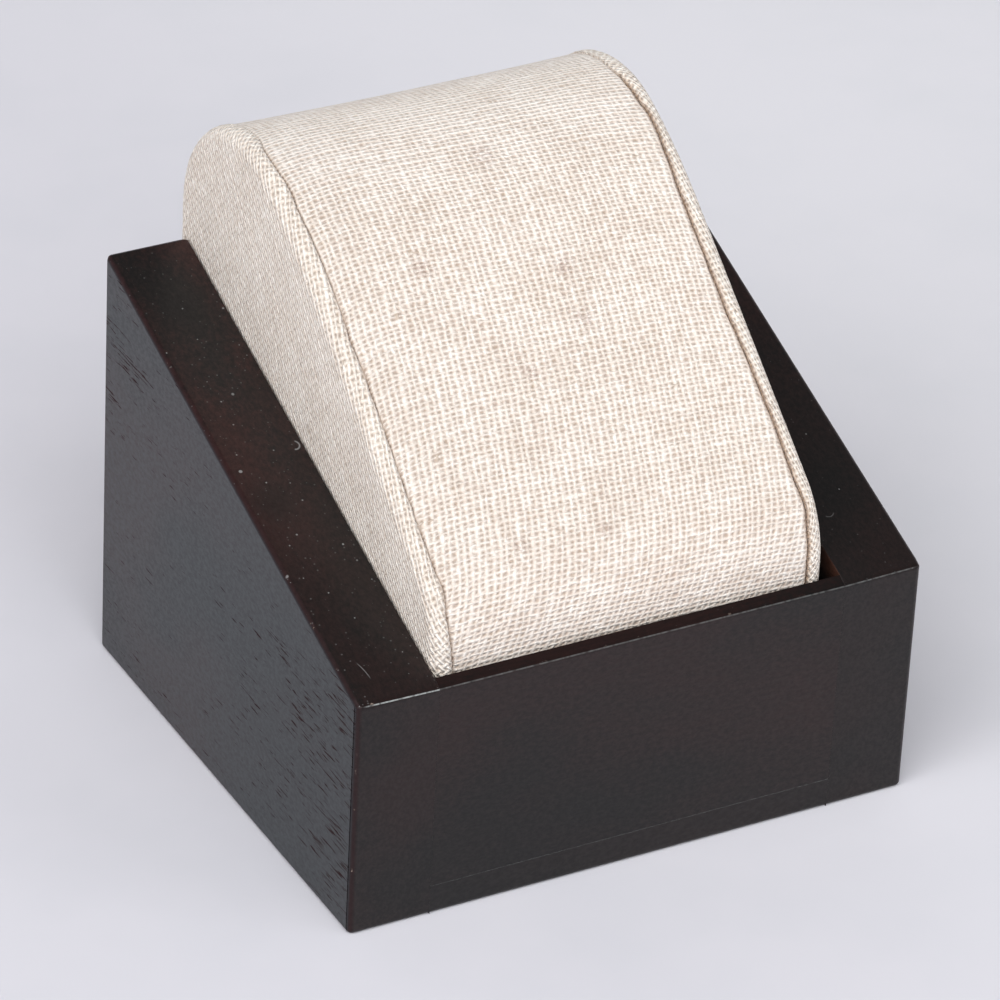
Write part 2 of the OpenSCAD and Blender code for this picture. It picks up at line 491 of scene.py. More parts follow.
def wood_finish(name, low, high, turn=0, front_height=FRONT_H, pores=0.5, red=0.5, front_red=1.0, dust=0.5,
                inward=0, top_lacquer=1.0, glint=1.0, fibres=(), round_mark=(200, 0, 0)):
    """Stained wood for one part. low and high are the corners of its box in millimetres.

    inward is the way along the width that its hidden side looks (-1 or +1); that side is coloured darker, and redder
    and lighter near its front top.
    fibres holds (centre, radius, towards, reach, thickness, brightness) of each fibre on its top.
    """
    material, shader = new_material(name)
    in_mm = stretched(own_place(), (1000, 1000, 1000))
    lain = stretched(in_mm, (1, 1, 1), (shift_of(name), 0, 0), (0, 0, turn))
    facing_way = new_node("NewGeometry").outputs["Normal"]
    facing = parts_of(facing_way)
    sideways = calc("ABSOLUTE", facing["X"])
    side = span(sideways, 0.8, 0.98)
    ahead = span(facing["Y"], -0.7, -0.95)
    upward = span(facing["Z"], 0.5, 0.8)
    _, depth, height = parts_of(in_mm)
    warm = span(height, 42, 62, 0.55, 1.6)
    warm = blend_value(upward, span(depth, -12, 36, 0.35, 2.3), warm)
    warm = times(warm, span(ahead, 0, 1, 1, front_red))
    # The pores crowd together at the upper back corner and near the front.
    crowded = times(span(depth, 14, 36), span(height, 34, 56))
    crowded = calc("MAXIMUM", crowded, span(depth, -14, -34, 0, 0.75))
    open_pores = times(side, calc("MULTIPLY_ADD", crowded, 0.32, pores))
    grain = use_group(grain_group, Vector=lain, Pores=open_pores, Red=times(warm, red))
    edge = use_group(
        edge_group, Vector=in_mm, Facing=facing_way, Low=low, High=high,
        Front_height=front_height, Polish=glint)
    specks = use_group(dust_group, Vector=in_mm, Amount=dust)["Mask"]
    for centre, radius, towards, reach, thickness, brightness in fibres:
        fibre = use_group(
            fibre_group, Vector=in_mm, Centre=centre, Radius=radius, Towards=towards,
            Reach=reach, Thickness=thickness)
        specks = calc("MAXIMUM", specks, times(fibre["Mask"], brightness))
    specks = times(specks, span(facing["Z"], 0.3, 0.7))
    mark = use_group(
        fibre_group, Vector=in_mm, Centre=round_mark, Radius=0.0, Reach=ALL_ROUND, Thickness=5.0)["Mask"]
    mark = times(mark, upward)
    # Painted sheen: a bluish grey painted into the colour of the upright sides, broken by the pores and mottled.
    painted_sheen = times(side, minus(0.55, grain["Pore"], clamp=True))
    painted_sheen = times(painted_sheen, span(grain["Mottle"], 0.3, 0.7, 0.55, 1.35))
    colour = blend(painted_sheen, grain["Colour"], (0.007, 0.015, 0.020, 1))
    # The inner side is coloured darker, and redder and lighter near its front top, without the painted sheen.
    hidden = span(times(facing["X"], float(inward)), 0.5, 0.9)
    near_front = times(span(depth, -31, -38), span(height, 35.5, 38.5))
    inner_side_tone = blend(near_front, (0.006, 0.004, 0.004, 1), (0.05, 0.02, 0.013, 1))
    colour = blend(hidden, colour, inner_side_tone)
    colour = blend(times(mark, 0.5), colour, (0.004, 0.0038, 0.0036, 1))
    arris = times(edge["Nearness"], span(sideways, 0.1, 0.5, 0, 0.55))
    colour = blend(arris, colour, (0.021, 0.0065, 0.0075, 1))
    colour = blend(edge["Bare"], colour, (0.30, 0.24, 0.20, 1))
    # Painted highlight: the thin pale line along the front edge, the lamps' reflection painted into the colour.
    colour = blend(edge["Painted glint"], colour, (0.34, 0.36, 0.355, 1))
    colour = blend(times(specks, 0.55), colour, (0.33, 0.33, 0.33, 1))
    lost = calc("MAXIMUM", calc("MAXIMUM", grain["Pore"], edge["Bare"]), specks)
    lacquer = minus(1.0, lost, clamp=True)
    lacquer = times(lacquer, span(upward, 0, 1, 1, top_lacquer))
    lacquer = times(lacquer, span(grain["Mottle"], 0.32, 0.68, 0.74, 1.0))
    side_lacquer = times(span(height, 5, 60, 0.89, 0.98), side)
    lacquer = times(lacquer, plus(side_lacquer, minus(1.0, side)))
    lacquer = times(lacquer, span(edge["Nearness"], 0, 1, 1, 0.6))
    set_shader(
        shader, Base_Color=colour, Roughness=span(lost, 0, 1, 0.5, 0.85), Specular_IOR_Level=0.06,
        Coat_Weight=lacquer, Coat_Roughness=0.3, Coat_IOR=1.39, Normal=raised(grain["Height"], 0.00004))
    return material


# On the left slope: a curled fibre beside the pad, a long one near the front, and two flecks.
LEFT_FIBRES = [
    ((-33.6, 2.2, 0), 0.72, (0.906, -0.423, 0), 0.0, 0.17, 0.9),
    ((-50, -37.5, 0), 9.0, (0.97, 0.245, 0), 0.988, 0.11, 0.55),
    ((-38.2, 12.7, 0), 0.0, (1, 0, 0), ALL_ROUND, 0.3, 1.0),
    ((-44.6, -18.0, 0), 0.0, (1, 0, 0), ALL_ROUND, 0.3, 0.9)]
RIGHT_FIBRES = [((36.1, -28.7, 0), 0.9, (0.15, -1, 0), 0.6, 0.11, 0.3)]
block_box = (-BASE_W / 2, -half_d, 0), (BASE_W / 2, half_d, 99)
wood = {
    "left_side_block": wood_finish(
        "wood_left_block", *block_box, pores=0.72, red=0.8, front_red=1.3, dust=1.4, inward=1,
        round_mark=(-40.5, -5.8, 0), fibres=LEFT_FIBRES),
    "right_side_block": wood_finish(
        "wood_right_block", *block_box, pores=0.6, red=0.5, front_red=1.5, dust=1.0, inward=-1,
        glint=0.25, fibres=RIGHT_FIBRES),
    "front_panel": wood_finish(
        "wood_panel", (-60, -half_d, -9), (60, 99, 99), turn=90, pores=0.1, red=0.75, front_red=1.7, dust=0.6,
        top_lacquer=0.1, glint=0.22),
    "bottom_board": wood_finish(
        "wood_bottom", (-60, -half_d, 0), (60, half_d, 99), turn=90, front_height=60, pores=0.2, red=0.5, dust=0.6),
}
print("wood materials:", [m.name for m in wood.values()])

# %% [markdown]
# ## Wood: the four parts
#
# Each part is one board. It starts as a cube whose corners are moved to the corners of the
# board, and a Bevel modifier then sands its edges. Every edge has its own weight: outer edges
# are eased by hand to half a millimetre or more, the inner upright edge at the back is the
# roundest, and where two boards are glued together the edge stays crisp. The side blocks get
# one more cut where the panel's back meets them, because the sanding stops there.


# %% Make a board
WIDEST_EASING = 2.4


def board(name, x0, x1, y0, y1, z0, top, easing, replaced):
    """A box from x0 to x1 and y0 to y1 whose top follows top(x, y). easing(edge middle) is the radius in mm."""
    bm = bmesh.new()
    bmesh.ops.create_cube(bm, size=1)
    for vert in bm.verts:
        x, y = (x0, x1)[vert.co.x > 0], (y0, y1)[vert.co.y > 0]
        vert.co = Vector((x, y, top(x, y) if vert.co.z > 0 else z0)) * MM
    side_block = x1 - x0 < 20 and z0 == 0
    if side_block:
        cut = Vector((0, -half_d + PANEL_T, 0)) * MM
        bmesh.ops.bisect_plane(bm, geom=bm.verts[:] + bm.edges[:] + bm.faces[:], plane_co=cut, plane_no=(0, 1, 0))
        for vert in bm.verts:
            if vert.co.z > 0 and vert.co.y < cut.y + 0.1 * MM:
                vert.co.z = top(vert.co.x / MM, vert.co.y / MM) * MM
    bmesh.ops.recalc_face_normals(bm, faces=bm.faces[:])
    weights = bm.edges.layers.float.new("bevel_weight_edge")
    for edge in bm.edges:
        edge[weights] = easing((edge.verts[0].co + edge.verts[1].co) / 2 / MM) / WIDEST_EASING
    for face in bm.faces:
        face.smooth = True
    mesh = bpy.data.meshes.new(name)
    bm.to_mesh(mesh)
    bm.free()
    mesh.materials.append(wood[replaced])
    piece = bpy.data.objects.new(name, mesh)
    scene.collection.objects.link(piece)
    sanding = piece.modifiers.new("sanding", "BEVEL")
    sanding.limit_method, sanding.width, sanding.segments = "WEIGHT", WIDEST_EASING * MM, 6
    sanding.use_clamp_overlap, sanding.harden_normals = False, True
    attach(piece, "root")
    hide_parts(replaced)
    print(name, "stands for", replaced)
    return piece


def slope_top(x, y):
    """Height of the sloping top. Sanding has lowered its front edge a little, most of all on the panel."""
    worn = between(x, [(-45, 0.1), (-inner, 0.4), (inner, 0.45), (45, 0.2)])
    return FRONT_H + (y + half_d) * math.tan(SLOPE) - worn * max(0.0, 1 - (y + half_d) / PANEL_T)


def between(run, marks):
    """Read a smooth curve through marks of (run, value)."""
    for (start, low), (end, high) in zip(marks, marks[1:]):
        if start <= run < end:
            share = (run - start) / (end - start)
            return low + (high - low) * share * share * (3 - 2 * share)
    return marks[0][1] if run < marks[0][0] else marks[-1][1]


# %% Cut and place the four boards
# Radii of the sanded edges in millimetres, by where the edge is.
OUTER_EDGE, OUTER_FRONT, OUTER_BACK, INNER_BACK = 0.8, 0.9, 0.7, 1.8
TOP_BACK, TOP_FRONT, GLUED = 0.9, 0.22, 0.02


def block_easing(outward):
    """Radii for a side block whose outer face looks along outward (-1 left, +1 right)."""

    def radius(middle):
        place = middle.x * outward
        on_top = middle.z > slope_top(middle.x, middle.y) - 0.25
        at_front, at_back = middle.y < 0.2 - half_d, middle.y > half_d - 1
        in_joint = middle.y < -half_d + PANEL_T
        if place < inner + 0.1:
            return INNER_BACK if at_back else TOP_FRONT if on_top and not in_joint else GLUED
        if place > BASE_W / 2 - 1:
            return OUTER_FRONT if at_front else OUTER_BACK if at_back else OUTER_EDGE
        if on_top:
            return TOP_BACK if at_back else TOP_FRONT if at_front else 0.0
        return OUTER_EDGE if middle.z < 1 else 0.0

    return radius


def panel_easing(middle):
    """Only the front top edge of the panel is sanded, and its glued edges stay crisp."""
    top_front = middle.y < -half_d + 0.2 and middle.z > 30 and abs(middle.x) < 5
    return TOP_FRONT if top_front else GLUED


def bottom_easing(middle):
    """The two long edges underneath are sanded."""
    return OUTER_EDGE if middle.z < 1 and abs(middle.x) < 5 else GLUED


board("left_block", -45, -inner, -half_d, half_d, 0, slope_top, block_easing(-1), "left_side_block")
board("right_block", inner, 45, -half_d, half_d, 0, slope_top, block_easing(1), "right_side_block")
board("panel", -inner, inner, -half_d, -half_d + PANEL_T, BOTTOM_T, slope_top, panel_easing, "front_panel")
board("floor_board", -inner, inner, -half_d, half_d, 0, lambda x, y: BOTTOM_T, bottom_easing, "bottom_board")

# %% [markdown]
# ## Pad: its side outline
#
# Seen from the side the pad is a convex shape with five rounded corners: two small feet, the
# nose, the gentle turn of the ramp into the crown, and the big curve down into the back. The
# outline is drawn with one vertex. A spin turns it round the centre of each corner, and a
# spin without an angle carries it along the straight run before that corner.

# %% Draw the outline
# Each corner is (place behind the front of the base, height, radius).
PAD_CORNERS = [(2.6, 4.8, 2.5), (2.6, 47.6, 15.0), (49.53, 84.66, 77.7), (84.6, 101.16, 18.93), (84.6, 4.8, 2.5)]
# Number of edges on the straight run before each corner, and on its arc. The last run closes the ring.
RUN_STEPS = [24, 30, 90, 0, 48, 24]
ROUND_STEPS = [6, 34, 24, 76, 6]
START = Vector((0, 43.6 - half_d, 4.8))


def corner_round(index, inset):
    """Centre and start of the arc of a corner that is drawn inset inwards, and its turn."""
    spots = [Vector((0, y - half_d, z)) for y, z, _ in PAD_CORNERS]
    here, last, following = spots[index], spots[index - 1], spots[(index + 1) % 5]
    to_last, to_next = (last - here).normalized(), (following - here).normalized()
    half = to_last.angle(to_next) / 2
    kept = max(PAD_CORNERS[index][2] - inset, 0.0)
    centre = here + (to_last + to_next).normalized() * (inset + kept) / math.sin(half)
    outward = Vector((0, to_last.z, -to_last.y))
    return centre, centre + outward * kept, math.pi - 2 * half


def draw_outline(bm, x, inset):
    """A closed wire at the place x of the width, all in millimetres. Returns its vertices in order."""
    aside = Vector((x, 0, 0))
    first = tip = bm.verts.new(START + aside + Vector((0, 0, inset)))

    def swing(vert, steps, centre=(0, 0, 0), angle=0.0, step=(0, 0, 0)):
        swept = bmesh.ops.spin(bm, geom=[vert], cent=centre, axis=(1, 0, 0), dvec=step, angle=angle, steps=steps)
        return next(part for part in swept["geom_last"] if isinstance(part, bmesh.types.BMVert))

    for index, (run_steps, round_steps) in enumerate(zip(RUN_STEPS, ROUND_STEPS)):
        centre, start, turn = corner_round(index, inset)
        if run_steps:
            tip = swing(tip, run_steps, step=(start + aside - tip.co) / run_steps)
        tip = swing(tip, round_steps, centre + aside, -turn)
    swing(tip, RUN_STEPS[5], step=(first.co - tip.co) / RUN_STEPS[5])
    path = [first]
    while True:
        onward = [e.other_vert(path[-1]) for e in path[-1].link_edges]
        onward = [v for v in onward if v not in path[-2:]]
        if not onward:
            break
        path.append(onward[0])
    bmesh.ops.weld_verts(bm, targetmap={path[-1]: first})
    return path[:-1]


def outline_points(x, inset):
    """The places of the vertices of an outline, without keeping its mesh."""
    drawn = bmesh.new()
    points = [vert.co.copy() for vert in draw_outline(drawn, x, inset)]
    drawn.free()
    return points


wire = outline_points(0, 0)
around = sum((a - b).length for a, b in zip(wire, wire[1:] + wire[:1]))
print(f"outline: {len(wire)} points, {around:.1f} mm round, top at {max(point.z for point in wire):.2f} mm")

# %% [markdown]
# ## Pad: from the outline to cloth
#
# The outline is carried across the width, one column of faces after another, by extruding the
# wire. Each point remembers where it is on the flat cloth before it was pulled round the pad,
# so that the weave can follow the surface. `draw_outline` gives the crest of the raised ends,
# and everything else lies a little deeper. Each column says how deep.


# %% Extrude the wire into cloth
def start_cloth(x, zero):
    """A new mesh with the outline at x, each point with its place, its outward direction and its run."""
    bm = bmesh.new()
    vectors, numbers = bm.verts.layers.float_vector, bm.verts.layers.float
    at = SimpleNamespace(
        home=vectors.new("home"), outward=vectors.new("outward"), cloth=vectors.new("cloth"),
        groove=numbers.new("groove"), cross=numbers.new("cross"), pulled=numbers.new("pulled"),
        number=bm.verts.layers.int.new("number"))
    path = draw_outline(bm, x, 0)
    runs, total = [0.0], 0.0
    for before, vert in zip(path, path[1:]):
        total += (vert.co - before.co).length
        runs.append(total)
    for index, vert in enumerate(path):
        heading = path[(index + 1) % len(path)].co - path[index - 1].co
        vert[at.home] = vert.co
        vert[at.outward] = Vector((0, -heading.z, heading.y)).normalized()
        vert[at.cloth] = Vector((0, 0, runs[index] - runs[zero]))
        vert[at.number] = index
    return bm, path, at


def carry_across(bm, ring, columns, shape):
    """Extrude the ring of edges once for each column (x, depth, lie). Returns the last ring."""
    for column in columns:
        made = bmesh.ops.extrude_edge_only(bm, edges=ring)["geom"]
        fresh = {part for part in made if isinstance(part, bmesh.types.BMVert)}
        ring = [part for part in made if isinstance(part, bmesh.types.BMEdge) and set(part.verts) <= fresh]
        for vert in fresh:
            shape(vert, column)
    return ring


def sweep(bm, path, columns, shape):
    """Move the outline to the first column and extrude it to the others. Returns the first and the last ring."""
    for vert in path:
        shape(vert, columns[0])
    chosen = set(path)
    first = [edge for edge in bm.edges if set(edge.verts) <= chosen]
    return first, carry_across(bm, first, columns[1:], shape)


def quarter(x, way, radius, steps, rising):
    """Columns of a rounded edge that starts at x and goes the given way (+1 or -1) along the width."""
    found = []
    for step in range(steps + 1):
        angle = math.pi / 2 * step / steps
        if rising:
            found.append((x + way * radius * (1 - math.cos(angle)), radius * (1 - math.sin(angle)), radius * angle))
        else:
            found.append((x + way * radius * math.sin(angle), radius * (1 - math.cos(angle)), radius * angle))
    return found


# %% [markdown]
# ## Pad: thread counts
#
# Linen is never perfectly straight on such a pad. Counted on the photograph, the threads that
# run up the ramp lean to the right at the nose and stand straight at the crown, and those that
# run across sag towards both seams. The UV map holds thread counts, so that each whole number
# is the middle of one thread. The ends are covered with cloth on the bias, its threads at
# about 45 degrees.


# %% Count the threads
# The fits below were counted from a point of the nose this far before the zero of the runs.
NOSE_RUN = 7.3


def strip_threads(across, run):
    """Thread counts on the strip at a place across the width and a run up from the nose, in millimetres."""
    run += NOSE_RUN
    climb = min(max(run, -20.0), 61.0)
    lean = -0.288 * climb + 0.00236 * max(climb, 0.0) ** 2
    up = 0.966 * across + 0.00153 * across**2 + 0.000023 * across**3 + lean
    sag = min(1.0, 0.35 + max(run, 0.0) / 60)
    level = 1.276 * run + 0.00126 * min(max(run, 0.0), 60.0) ** 2 + 0.15 * max(run - 60.0, 0.0)
    level += 0.03 * across + 0.19 * sag * 4.8 * abs(across / 24) ** 5
    return up, level


def end_threads(depth, height):
    """Thread counts on a covered end, whose cloth is laid askew."""
    return 0.775 * depth + 0.715 * height, 0.955 * height - 1.09 * depth


def write_threads(bm, cloth, count, whole_run=0.0):
    """Fill the UV map from the place of each point on the flat cloth."""
    threads = bm.loops.layers.uv.new("threads")
    for face in bm.faces:
        runs = [loop.vert[cloth].y for loop in face.loops]
        wraps = whole_run and max(runs) - min(runs) > whole_run / 2
        for loop in face.loops:
            place = loop.vert[cloth]
            run = place.y + (whole_run if wraps and place.y < 0 else 0.0)
            loop[threads].uv = count(place.x, run)


print("threads at the middle of the ramp:", [round(n, 1) for n in strip_threads(0, 30)])

# %% [markdown]
# ## Linen: the weave
#
# In a plain weave each thread passes over and under the ones that cross it. The group draws
# one system of threads along each axis of the UV map. A thread has a round profile across and
# rises and dives along its length, and the higher of the two systems shows. Linen yarn is
# uneven, so spacing, thickness and tone change from thread to thread and along each thread,
# with thicker grey-brown slubs here and there. Between the threads the backing shows through
# as small tan holes. The colour also holds painted shade: each thread is painted darker on its
# flanks and where it dives, and the tan of the holes is partly the backing and partly painted
# shade between the threads.


# %% Build the weave group
def yarn(across, along, sign, seed):
    """One system of threads: its height, its tone, its slubs and its fibres at each point."""
    number = calc("ROUND", across)
    lane = vector_of(times(number, 3.71), times(along, 0.32), seed)
    swerve = clouds(stretched(lane, (1, 1.8, 1), (8, 3, 1)), 1, 1, 0.5)
    offset = calc("MULTIPLY_ADD", minus(swerve, 0.5), 0.55, minus(across, number))
    thick = clouds(stretched(lane, (1, 1.6, 1)), 1, 2, 0.6)
    thick = span(thick, 0.25, 0.75, 0.80, 1.24, smooth=False)
    tone = clouds(stretched(lane, (1.7, 0.55, 1), (5, 2, 3)), 1, 2, 0.6)
    slub = clouds(stretched(lane, (2.3, 0.5, 1), (1, 9, 4)), 1, 1, 0.5)
    slub = span(slub, 0.73, 0.79)
    swell = calc("MULTIPLY_ADD", calc("COSINE", times(offset, 2 * math.pi)), 0.5, 0.5)
    body = calc("POWER", swell, calc("DIVIDE", 1.0, times(thick, given["Fullness"])))
    crimp = calc("COSINE", times(plus(along, number), math.pi))
    lift = times(calc("MULTIPLY_ADD", crimp, given["Crimp"], given["Balance"]), sign)
    height = times(body, plus(lift, 0.70))
    twist = calc("MULTIPLY_ADD", offset, 5.0, times(along, 0.9))
    fibres = clouds(vector_of(twist, times(along, 1.6), number), 1, 2, 0.7)
    return height, tone, slub, fibres


def even_grey(value):
    """A grey colour of this value."""
    grey = new_node("CombineColor")
    for socket in grey.inputs[:3]:
        feed(socket, value)
    return grey.outputs[0]


def dyed(colour, tone, slub, fibre):
    """The colour of one thread."""
    pale = blend(span(tone, 0.3, 0.7), blend(0.12, colour, given["Slub"]), colour)
    pale = blend(times(slub, 0.6), pale, given["Slub"])
    shade = span(fibre, 0.3, 0.7, 0.93, 1.04, smooth=False)
    return blend(1.0, pale, even_grey(shade), "MULTIPLY")


weave_group, given, result = new_group(
    "open_weave",
    [("Threads", "vector", None), ("Fullness", "value", 1.0), ("Balance", "value", 0.0), ("Crimp", "value", 0.16),
     ("Unevenness", "value", 0.5), ("Pulled", "value", 0.0), ("First Yarn", "colour", (0.9, 0.84, 0.76, 1)),
     ("Yarn", "colour", (0.9, 0.84, 0.76, 1)), ("Gap", "colour", (0.4, 0.33, 0.27, 1)),
     ("Slub", "colour", (0.5, 0.42, 0.34, 1))],
    [("Colour", "colour"), ("Height", "value")],
)
split = parts_of(given["Threads"])
wander_up = clouds(stretched(given["Threads"], (0.6, 0.07, 1)), 1, 2, 0.5)
wander_on = clouds(stretched(given["Threads"], (0.07, 0.6, 1), (31, 17, 0)), 1, 2, 0.5)
up = plus(split["X"], times(minus(wander_up, 0.5), given["Unevenness"]))
on = plus(split["Y"], times(minus(wander_on, 0.5), given["Unevenness"]))
high_up, tone_up, slub_up, fibre_up = yarn(up, on, 1, 1.3)
high_on, tone_on, slub_on, fibre_on = yarn(on, up, -1, 7.9)
height = calc("MAXIMUM", high_up, high_on)
upper = span(minus(high_up, high_on), -0.08, 0.08)
colour_on = dyed(given["Yarn"], tone_on, slub_on, fibre_on)
colour_up = dyed(given["First Yarn"], tone_up, slub_up, fibre_up)
threads = blend(upper, colour_on, colour_up)
open_up, open_on = (minus(1.0, high) for high in (high_up, high_on))
cover = minus(1.0, times(open_up, open_on))
for size, place, low, high, least, most in (
    (0.62, (11, 5, 2), 0.42, 0.72, -0.06, 0.26),
    (0.11, (2, 8, 6), 0.35, 0.65, -0.07, 0.07),
    (2.3, (4, 1, 9), 0.30, 0.70, -0.15, 0.15),
):
    loose = clouds(stretched(given["Threads"], (size, size, 1), place), 1, 2, 0.6)
    cover = plus(cover, span(loose, low, high, least, most))
cover = calc("MULTIPLY_ADD", given["Pulled"], 0.22, cover)
backing = clouds(stretched(given["Threads"], (0.45, 0.45, 1), (3, 7, 0)), 1, 3, 0.7)
holes = blend(span(backing, 0.35, 0.75), given["Gap"], given["Slub"])
# Painted shade: the flanks and dives of the threads are painted darker, and the holes take the gap colour, partly
# backing and partly painted shade.
shaded_flanks = blend(1.0, threads, (0.82, 0.765, 0.72, 1), "MULTIPLY")
shown = blend(span(cover, 0.08, 0.55, smooth=False), holes, shaded_flanks)
shown = blend(span(cover, 0.58, 1.08, smooth=False), shown, threads)
feed(result["Colour"], shown)
feed(result["Height"], height)
print("weave group:", len(weave_group.nodes), "nodes")


# %% Dye the linen
def linen_finish(name, shaded_first_yarn, yarn_tone, gap, relief, crimp, balance, knots=(), **weave):
    """Linen of two yarns over a gap colour. knots holds (across, run, size) of each darker knot."""
    material, shader = new_material(name)
    counted = new_node("UVMap")
    counted.uv_map = "threads"
    groove, cross, pulled = (stored(place) for place in ("groove", "cross", "pulled"))
    # Painted shade: where cross is high, the first yarn is painted darker.
    tones = {
        "First Yarn": blend(cross, yarn_tone, shaded_first_yarn), "Yarn": yarn_tone, "Gap": gap,
        "Slub": (0.47, 0.36, 0.27, 1)}
    cloth = use_group(
        weave_group, Threads=counted.outputs[0], Pulled=pulled, Crimp=crimp,
        Balance=times(cross, balance), **tones, **weave)
    # Painted shade and dirt: the linen turns darker brown towards the bottom of the seam groove, partly painted shade
    # in the crease and partly dirt and glue.
    colour = blend(groove, cloth["Colour"], (0.60, 0.48, 0.39, 1), "MULTIPLY")
    flat_place = stored("cloth", "Vector")
    frayed = span(clouds(flat_place, 1.6, 2, 0.6), 0.42, 0.56)
    for across, run, size in knots:
        knot = use_group(
            fibre_group, Vector=flat_place, Centre=(across, run, 0), Radius=0.0, Reach=ALL_ROUND, Thickness=size)
        darker = times(knot["Mask"], frayed)
        colour = blend(darker, colour, (0.78, 0.73, 0.72, 1), "MULTIPLY")
    set_shader(
        shader, Base_Color=colour, Roughness=0.9, Specular_IOR_Level=0.25, Sheen_Weight=0.35,
        Sheen_Roughness=0.4, Normal=raised(cloth["Height"], relief))
    return material


# The largest grey knots on the ramp, by their place on the flat strip.
KNOTS = [
    (-15.1, 42.5, 2.4), (6.1, 38.4, 2.2), (6.0, 30.1, 2.2), (0.9, 57.7, 2.6), (-4.8, 24.1, 1.8),
    (-15.8, 0, 1.6), (-3, -0.7, 1.6)]
strip_linen = linen_finish(
    "linen_strip", (0.84, 0.78, 0.725, 1), (0.915, 0.86, 0.80, 1), (0.51, 0.405, 0.34, 1),
    relief=0.0003, crimp=0.11, balance=-0.10, knots=KNOTS, Fullness=1.25, Unevenness=0.8)
# Painted light: the ends are the same linen as the strip, with their yarn painted brighter.
end_linen = linen_finish(
    "linen_ends", (0.78, 0.715, 0.65, 1), (0.99, 0.935, 0.86, 1), (0.43, 0.355, 0.30, 1),
    relief=0.00038, crimp=0.26, balance=-0.08, Fullness=1.36, Unevenness=0.8)
print("linen:", strip_linen.name, end_linen.name)

# %% [markdown]
# ## Pad: the strip
#
# One strip of linen goes all the way round the firm block. At both sides it turns down into
# the groove beside the raised end, tightly on the left and in a softer roll on the right.
# Between the two ends it sags a little, most at the crown. The seams were pulled by hand, so
# they wander by a few tenths of a millimetre, most of all round the nose.

# %% Wrap the strip round the pad
PAD_LEFT, PAD_RIGHT, END_T, LINEN_T = -32.0, 30.3, 2.7, 0.5
STRIP_LEFT, STRIP_RIGHT, STRIP_DEPTH = PAD_LEFT + END_T, PAD_RIGHT - END_T, 0.3
NOSE_POINT = sum(RUN_STEPS[:2]) + sum(ROUND_STEPS[:2])


SAG_DEPTH, RIPPLE = 0.45, 0.07


def sag(x, run):
    """How far the linen lies below its place beside the ends."""
    middle = 1 - abs((x - (STRIP_LEFT + STRIP_RIGHT) / 2) / ((STRIP_RIGHT - STRIP_LEFT) / 2)) ** 2.2
    along = math.sin(math.pi * min(max((run + 15) / 125, 0), 1))
    ripple = noise.noise(Vector((x / 11, run / 9, 0.5))) * RIPPLE
    return SAG_DEPTH * max(middle, 0) * along + ripple


# How far each seam wanders to the right along its run, in millimetres.
SWAY_LEFT = [
    (-15.6, 0.46), (-13, 0.2), (-10.8, 0.0), (-8.6, -0.2), (-7.1, -0.3), (-5.8, 0.0), (-4.7, 0.06), (-3.5, 0.15),
    (-2.3, 0.0), (-1.0, -0.25), (5, -0.2), (30, 0.2), (35, 0.05), (40, 0.3), (46, 0.2), (50, 0.12), (54.5, -0.1),
    (58, 0.12), (60, 0.05), (62, -0.3), (64.8, -0.4), (66.3, -0.35), (69.5, 0.25)]
SWAY_RIGHT = [
    (-16, 0.2), (-8, 0.45), (-4.4, 0.8), (-2.7, 0.65), (0, 0.42), (9, 0.7), (16, 0.55), (28, 0.15), (45, 0.15),
    (50.5, 0.5), (55.7, 0.95), (58.6, 0.9), (61.8, 0.45), (65.5, 0.1), (69, -0.5)]


def seam_sway(run, side):
    """How far the seam at one side (-1 left, +1 right) wanders to the right, in millimetres."""
    ripple = 0.09 * noise.noise(Vector((run / 3.5, side * 7, 3))) + 0.06 * noise.noise(Vector((run / 1.4, side * 9, 5)))
    return ripple + between(run, SWAY_LEFT if side < 0 else SWAY_RIGHT)


def seam_depth(run):
    """Share of the full depth that the seam has. It fades where the crown turns down to the back."""
    return between(run, [(64, 1.0), (70, 0.25), (84, 0.25), (92, 1.0)])


